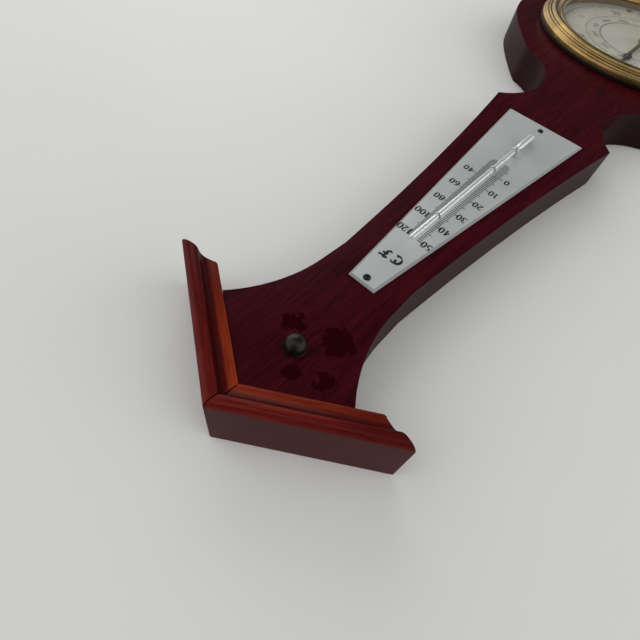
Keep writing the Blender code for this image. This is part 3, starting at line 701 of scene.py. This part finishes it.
def thermometer():
    scale_plate()
    face = front_depth("thermometer_plate") + INK_LIFT
    middle = centre_of("thermometer_plate").x
    sheet = Matrix.Translation((middle, -face, 0.0)) @ FRONT

    marks = bmesh.new()
    tick_row(marks, sheet, -1, range(-9, 51), celsius_up, 0.50)
    tick_row(marks, sheet, 1, range(16, 123), fahrenheit_up, 0.28)
    printed("scale_ticks", marks, "faded_ink")

    figures = bmesh.new()
    for side, numbered, up_of in ((-1, NUMBERED_C, celsius_up), (1, NUMBERED_F, fahrenheit_up)):
        for degrees, out in numbered.items():
            spot = sheet @ Matrix.Translation((side * out * MM, up_of(degrees) * MM, 0))
            write(figures, str(degrees), spot, FIGURE_HEIGHT * MM, weight=FIGURE_WEIGHT)
    printed("scale_figures", figures, "ink")

    letters = bmesh.new()
    for char, x, up in LETTERS:
        spot = sheet @ Matrix.Translation((x * MM, up * MM, 0))
        write(letters, char, spot, LETTER_HEIGHT * MM, math.radians(-40), LETTER_WEIGHT)
    printed("scale_unit_letters", letters, "ink")

    seat = front_depth("thermometer_plate")
    for end, slot_turn in (("top", 0.6), ("bottom", 1.9)):
        slotted_head("screw_head_" + end, "plate_screw_" + end, "black_screws", seat, slot_turn)
    tube()


BULB_TO_TUBE = 1.36           # ratio of the bulb's radius to the tube's
BULB_AND_NECK = 16.4 * MM


def tube():
    """The glass tube with its bulb, the liquid in it and the wire clips that hold it."""
    low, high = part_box("thermometer_tube")
    spot = centre_of("thermometer_tube")
    bulb_r = (high.x - low.x) / 2
    tube_r = bulb_r / BULB_TO_TUBE
    length = high.z - low.z
    neck = length - BULB_AND_NECK
    down = Matrix.Translation((spot.x, spot.y, high.z)) @ Matrix.Rotation(math.pi, 4, "X")
    outer = [(0.0, 0.0), (tube_r * 0.45, 0.12 * MM), (tube_r * 0.8, 0.5 * MM), (tube_r * 0.96, 1.0 * MM),
             (tube_r, 1.6 * MM), (tube_r, neck - 0.6 * MM), (tube_r * 0.86, neck + 0.2 * MM),
             (tube_r * 0.95, neck + 1.0 * MM), (bulb_r * 0.93, neck + 2.2 * MM), (bulb_r, neck + 3.4 * MM),
             (bulb_r, length - 2.4 * MM), (bulb_r * 0.86, length - 1.0 * MM),
             (bulb_r * 0.5, length - 0.2 * MM), (0.0, length)]
    unshaded(dress(lathe("glass_tube", outer, down, 40), "tube_glass", "thermometer_tube"))
    fill_r = bulb_r * 0.86
    column = high.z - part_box("thermometer_fluid")[1].z
    fluid = [(0.0, column), (0.2 * MM, column + 0.2 * MM), (0.2 * MM, neck + 1.6 * MM),
             (fill_r * 0.9, neck + 3.2 * MM), (fill_r, neck + 4.4 * MM), (fill_r, length - 3.0 * MM),
             (fill_r * 0.8, length - 1.5 * MM), (0.0, length - 1.1 * MM)]
    dress(lathe("liquid_column", fluid, down, 32), "thermometer_liquid", "thermometer_fluid")
    for node in ("tube_staple_upper", "tube_staple_middle", "tube_staple_lower"):
        staple(node, spot, tube_r)


def staple(node, spot, tube_r):
    """A thin wire bridge whose feet splay on the plate; the one at the bulb is coiled."""
    level = centre_of(node).z
    seat = -front_depth("thermometer_plate")
    wire_r = 0.27 * MM
    reach = tube_r + wire_r
    turns = 3 if node.endswith("lower") else 0
    rise = 2.3 * wire_r
    steps = 12 + 24 * turns
    start = level + turns * rise / 2
    points = [(spot.x - reach - 0.9 * MM, seat - wire_r, start + 0.5 * MM),
              (spot.x - reach - 0.2 * MM, seat - wire_r * 1.5, start + 0.1 * MM)]
    for i in range(steps + 1):
        t = math.pi - (math.pi + 2 * math.pi * turns) * i / steps
        points.append((spot.x + reach * math.cos(t), spot.y - reach * math.sin(t),
                       start - rise * turns * i / steps))
    end = start - rise * turns
    points += [(spot.x + reach + 0.2 * MM, seat - wire_r * 1.5, end + 0.1 * MM),
               (spot.x + reach + 0.9 * MM, seat - wire_r, end + 0.5 * MM)]
    wire(node.replace("tube_staple", "clip"), points, wire_r, node, "bright_steel")


# ---------------------------------------------------------------- barometer

# the bezel's section as radius and height over its seat, mm, drawn 70 wide and 8.1 high
BEZEL_DRAWN = (70.0, 8.1)
BEZEL_SECTION = (
    (57.0, 5.65), (57.9, 6.6), (58.9, 6.3), (59.2, 5.9), (60.0, 6.6), (61.2, 7.7), (62.7, 8.05), (64.2, 7.7),
    (65.0, 7.0), (65.25, 6.6), (66.4, 6.65), (66.8, 6.1), (68.0, 5.9), (68.5, 5.3), (69.4, 4.9), (69.95, 4.2),
    (70.0, 3.4), (70.0, 0.05), (68.2, 0.05), (68.2, 2.6), (61.6, 2.6), (61.6, 5.6))
# the set knob's outline as radius and drop from its tip, mm, and the part behind the glass
KNOB_OUTLINE = ((0.0, 0.0), (2.2, 0.15), (3.6, 0.7), (4.6, 1.7), (4.8, 2.4),
                (4.5, 3.2), (3.0, 4.0), (2.1, 4.6), (2.1, 5.0), (3.5, 5.4))
KNOB_STEM = ((3.6, 0.3), (1.0, 0.3), (1.0, -3.1), (0.0, -3.1))


def barometer_front():
    bezel()
    set_knob()
    rounded_copy("pointer", "pointer_hand", 0.12 * MM, "blued_steel")
    rounded_copy("set_hand", "marker_hand", 0.12 * MM, "polished_brass")
    unshaded(NODES["dial_glass"])
    dial_printing()


def bezel():
    low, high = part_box("bezel")
    matrix = Matrix.Translation((DIAL.x, high.y, DIAL.z)) @ FRONT
    wide, tall = BEZEL_RADIUS / BEZEL_DRAWN[0], (high.y - low.y) / BEZEL_DRAWN[1]
    section = [(r * wide, h * tall) for r, h in BEZEL_SECTION]
    profile = rounded_profile(section, 0.5 * MM) + [section[0]]
    dress(lathe("brass_bezel", profile, matrix, 192), "polished_brass", "bezel")


def set_knob():
    glass_front = front_depth("dial_glass")
    rise = front_depth("set_knob") - glass_front
    profile = [(r * MM, rise - drop * MM) for r, drop in KNOB_OUTLINE]
    profile += [(r * MM, h * MM) for r, h in KNOB_STEM]
    matrix = Matrix.Translation((DIAL.x, -glass_front, DIAL.z)) @ FRONT
    turned = lathe("brass_set_knob", rounded_profile(profile, 0.4 * MM), matrix, 64)
    dress(turned, "polished_brass", "set_knob")


INCH_LOW, INCH_HIGH, INCH_ANGLE = 28.0, 31.0, 90.0
MILLIBAR_PER_INCH = 33.864
MILLIBARS = (950, 1051)
# radii and sizes of the dial's printing, mm
INCH_TICKS, INCH_FIGURES, MILLIBAR_TICKS, MILLIBAR_FIGURES = 54.0, 45.2, 38.4, 32.8
INCH_HEIGHT, HALF_HEIGHT, MILLIBAR_HEIGHT = 6.4, 4.2, 3.0
PRINTED_RINGS = ((54.4, 0.5), (38.6, 0.3), (29.6, 0.2), (28.8, 0.45))


def dial_matrix():
    face = front_depth("dial_plate") + INK_LIFT
    return Matrix.Translation((DIAL.x, -face, DIAL.z)) @ FRONT


def on_dial(inches, radius):
    """A frame on the dial at a reading, its Y axis pointing outwards."""
    degrees = (inches - (INCH_LOW + INCH_HIGH) / 2) * INCH_ANGLE
    turn = Matrix.Rotation(-math.radians(degrees), 4, "Z")
    return dial_matrix() @ turn @ Matrix.Translation((0, radius * MM, 0))


def ring(bm, base, radius, width, steps=144):
    inner, outer = [], []
    for i in range(steps):
        t = 2 * math.pi * i / steps
        for row, r in ((inner, radius - width / 2), (outer, radius + width / 2)):
            row.append(bm.verts.new(base @ Vector((r * math.cos(t) * MM, r * math.sin(t) * MM, 0))))
    for i in range(steps):
        j = (i + 1) % steps
        bm.faces.new((inner[i], outer[i], outer[j], inner[j]))


def inch_tick(count):
    """Length and width of the tick at a fiftieth of an inch, in mm."""
    if count % 25 == 0:
        return 4.2, 0.5
    if count % 5 == 0:
        return 3.4, 0.3
    return 1.8, 0.16


def dial_printing():
    outwards = Matrix.Rotation(math.pi / 2, 4, "Z")
    marks = bmesh.new()
    for i in range(round((INCH_HIGH - INCH_LOW) * 50) + 1):
        length, width = inch_tick(i)
        place = on_dial(INCH_LOW + i / 50, INCH_TICKS) @ outwards
        tick(marks, place, -length * MM, 0.0, 0.0, width * MM)
    for millibar in range(*MILLIBARS, 2):
        length = 2.6 if millibar % 10 == 0 else 1.4
        place = on_dial(millibar / MILLIBAR_PER_INCH, MILLIBAR_TICKS) @ outwards
        tick(marks, place, -length * MM, 0.0, 0.0, 0.2 * MM)
    printed("dial_ticks", marks, "dial_ink")

    rings = bmesh.new()
    for radius, width in PRINTED_RINGS:
        ring(rings, dial_matrix(), radius, width)
    printed("dial_rings", rings, "dial_ink")

    figures = bmesh.new()
    for half in range(int((INCH_HIGH - INCH_LOW) * 2) + 1):
        inches = INCH_LOW + half / 2
        text, height = (str(int(inches)), INCH_HEIGHT) if half % 2 == 0 else ("5", HALF_HEIGHT)
        write(figures, text, on_dial(inches, INCH_FIGURES), height * MM)
    for millibar in range(*MILLIBARS, 10):
        spot = on_dial(millibar / MILLIBAR_PER_INCH, MILLIBAR_FIGURES)
        write(figures, str(millibar), spot, MILLIBAR_HEIGHT * MM)
    printed("dial_figures", figures, "dial_ink")


# ---------------------------------------------------------------- back of the case

def case_back():
    rounded_copy("hanger_plate", "keyhole_plate", 0.2 * MM, "bright_steel")
    rounded_copy("barometer_case", "drawn_case", 0.35 * MM, "case_metal", 3)


# ---------------------------------------------------------------- everything else

def dress_cad():
    """Each CAD node takes its slot's material; detailed pieces replace some of them later."""
    for name, obj in NODES.items():
        key = SLOT_OF[name]
        if key == "moulding_wood":
            key = "moulding_left" if name.endswith("left") else "moulding_right"
        obj.data.materials.clear()
        obj.data.materials.append(MATERIALS[key])
        for polygon in obj.data.polygons:
            polygon.material_index = 0


# ---------------------------------------------------------------- table, lights, camera

TABLE_GAP = 0.4 * MM
KEY_AT, KEY_TARGET, KEY_SIZE, KEY_POWER = (0.95, -0.70, -0.85), (0.0, 0.0, -0.05), 1.1, 5.0
ROOM_LIGHT = 1.36
# direction, cosine at the soft edge, cosine where it is darkest, level there
DIM_PARTS = (((0.27, -0.70, -0.66), 0.58, 0.86, 0.07),
             ((-0.42, -0.55, 0.72), 0.66, 0.94, 0.08))
CAMERA_AT = Vector((-42.4, -135.6, 75.3)) * MM
CAMERA_LOOK = Vector((0.2941, 0.8282, -0.4770))
CAMERA_UP = Vector((0.6159, -0.5459, -0.5681))
CAMERA_LENS = 24.8


def table_top():
    """A pale table under the back; it is clear from behind, so the back can be looked at."""
    bm = bmesh.new()
    bmesh.ops.create_grid(bm, x_segments=2, y_segments=2, size=2.5)
    top = new_piece("table_top", bm, Matrix.Translation((0, TABLE_GAP, -0.2)) @ FRONT, solid=False)
    paint = Paint("table_white", Roughness=0.55)
    cloud = paint.noise(6, 3.0)
    white = paint.ramp(cloud, [(0.3, (0.76, 0.76, 0.75)), (0.7, (0.79, 0.79, 0.78))])
    cells = paint.node("ShaderNodeTexVoronoi", {"Vector": paint.coords, "Scale": 17.0})
    speck = paint.span(cells.outputs["Distance"], 0.004, 0.007, 1.0, 0.0)
    paint.set("Base Color", paint.mix(speck, white, (0.30, 0.28, 0.26)))
    clear = paint.node("ShaderNodeBsdfTransparent")
    side = paint.node("ShaderNodeNewGeometry").outputs["Backfacing"]
    both = paint.node("ShaderNodeMixShader", {0: side, 1: paint.shader.outputs[0], 2: clear.outputs[0]})
    out = paint.tree.nodes["Material Output"]
    paint.tree.links.new(both.outputs[0], out.inputs["Surface"])
    top.data.materials.append(paint.material)
    top.visible_shadow = False


def hang_light(name, light, facing):
    """Put a light's object in the scene, shining along facing."""
    lamp = bpy.data.objects.new(name, light)
    bpy.context.scene.collection.objects.link(lamp)
    lamp.rotation_mode = "QUATERNION"
    lamp.rotation_quaternion = (-Vector(facing)).to_track_quat("Z", "Y")
    return lamp


def key_light():
    light = bpy.data.lights.new("key", "AREA")
    light.shape = "DISK"
    light.size = KEY_SIZE
    light.energy = KEY_POWER
    hang_light("key", light, Vector(KEY_TARGET) - Vector(KEY_AT)).location = KEY_AT


def back_sun():
    """Lights only what faces the wall, for looking at the back."""
    light = bpy.data.lights.new("back_sun", "SUN")
    light.energy = 2.0
    light.angle = 0.0
    hang_light("back_sun", light, (0.0, -1.0, 0.0))


def world_light():
    """A bright room with a dim ceiling and a dim corner; looked at directly it is plain and pale."""
    world = bpy.data.worlds.new("studio")
    bpy.context.scene.world = world
    world.use_nodes = True
    nodes, links = world.node_tree.nodes, world.node_tree.links
    nodes.clear()
    direction = nodes.new("ShaderNodeTexCoord").outputs["Generated"]
    level = None
    for axis, edge, core, least in DIM_PARTS:
        dot = nodes.new("ShaderNodeVectorMath")
        dot.operation = "DOT_PRODUCT"
        dot.inputs[1].default_value = Vector(axis).normalized()
        links.new(direction, dot.inputs[0])
        part = nodes.new("ShaderNodeMapRange")
        part.interpolation_type = "SMOOTHSTEP"
        for key, value in (("From Min", edge), ("From Max", core), ("To Min", 1.0), ("To Max", least)):
            part.inputs[key].default_value = value
        links.new(dot.outputs["Value"], part.inputs["Value"])
        if level is None:
            level = part.outputs["Result"]
        else:
            both = nodes.new("ShaderNodeMath")
            both.operation = "MULTIPLY"
            links.new(level, both.inputs[0])
            links.new(part.outputs["Result"], both.inputs[1])
            level = both.outputs[0]
    room = nodes.new("ShaderNodeBackground")
    room.inputs["Color"].default_value = (1.0, 1.0, 0.99, 1.0)
    strength = nodes.new("ShaderNodeMath")
    strength.operation = "MULTIPLY"
    strength.inputs[1].default_value = ROOM_LIGHT
    links.new(level, strength.inputs[0])
    links.new(strength.outputs[0], room.inputs["Strength"])
    seen = nodes.new("ShaderNodeBackground")
    seen.inputs["Color"].default_value = (0.62, 0.62, 0.61, 1.0)
    seen.inputs["Strength"].default_value = 1.0
    path = nodes.new("ShaderNodeLightPath")
    mix = nodes.new("ShaderNodeMixShader")
    out = nodes.new("ShaderNodeOutputWorld")
    links.new(path.outputs["Is Camera Ray"], mix.inputs[0])
    links.new(room.outputs[0], mix.inputs[1])
    links.new(seen.outputs[0], mix.inputs[2])
    links.new(mix.outputs[0], out.inputs["Surface"])


def camera():
    data = bpy.data.cameras.new("camera")
    data.lens = CAMERA_LENS
    data.sensor_width = 36.0
    data.clip_start = 0.01
    cam = bpy.data.objects.new("camera", data)
    bpy.context.scene.collection.objects.link(cam)
    back = -CAMERA_LOOK.normalized()
    right = CAMERA_UP.cross(back).normalized()
    up = back.cross(right)
    turn = Matrix((right, up, back)).transposed().to_4x4()
    cam.matrix_world = Matrix.Translation(CAMERA_AT) @ turn
    bpy.context.scene.camera = cam


def studio():
    table_top()
    world_light()
    key_light()
    back_sun()
    camera()
    bpy.context.scene.view_settings.view_transform = "Standard"


dress_cad()
wooden_case()
thermometer()
barometer_front()
case_back()
studio()
